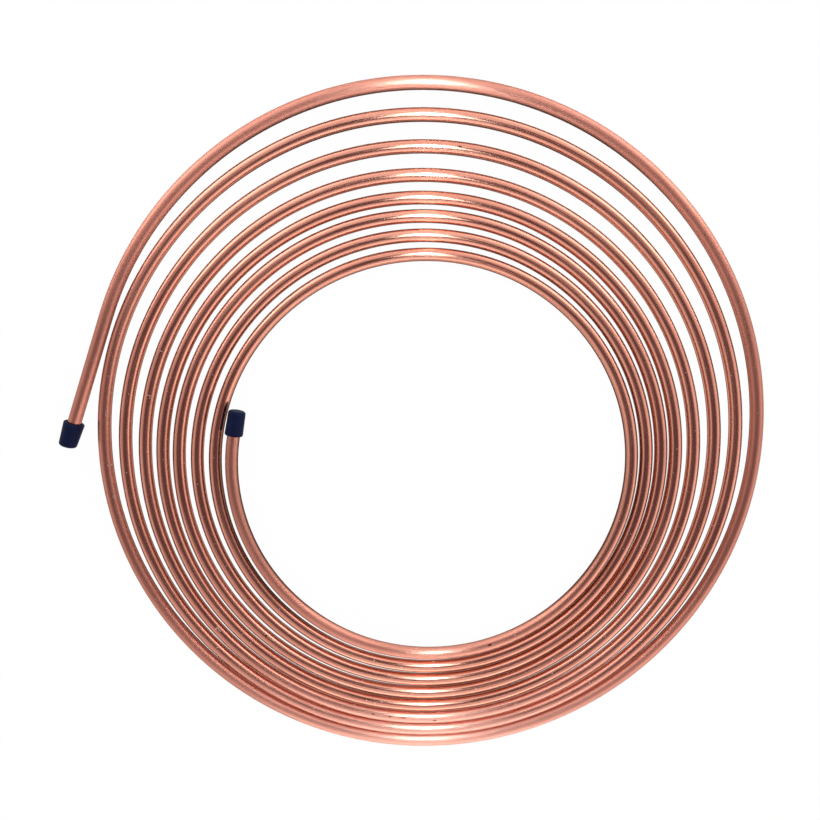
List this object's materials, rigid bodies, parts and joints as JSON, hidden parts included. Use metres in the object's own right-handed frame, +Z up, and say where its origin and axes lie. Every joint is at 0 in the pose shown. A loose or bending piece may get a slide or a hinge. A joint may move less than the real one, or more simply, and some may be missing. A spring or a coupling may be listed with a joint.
{
  "type": "coil of tubing",
  "caption": "Loose flat coil of bare copper-nickel tubing with a push-on cap on each end, stock for bending and flaring into brake, fuel and fluid lines.",
  "frame": {"origin": "on the floor under the centre of the coil's eye", "axes": "+Z up, square to the flat coil; -Y towards the side where the turns lie close; +X to the right of it as seen from above"},
  "size_m": [0.4407, 0.4272, 0.0142],
  "materials": {
    "copper_nickel": "bright drawn",
    "cap_vinyl": "satin moulded"
  },
  "bodies": {
    "root": {"coiled_tube": "copper_nickel", "inner_end_cap": "cap_vinyl", "outer_end_cap": "cap_vinyl"}
  },
  "joints": []
}
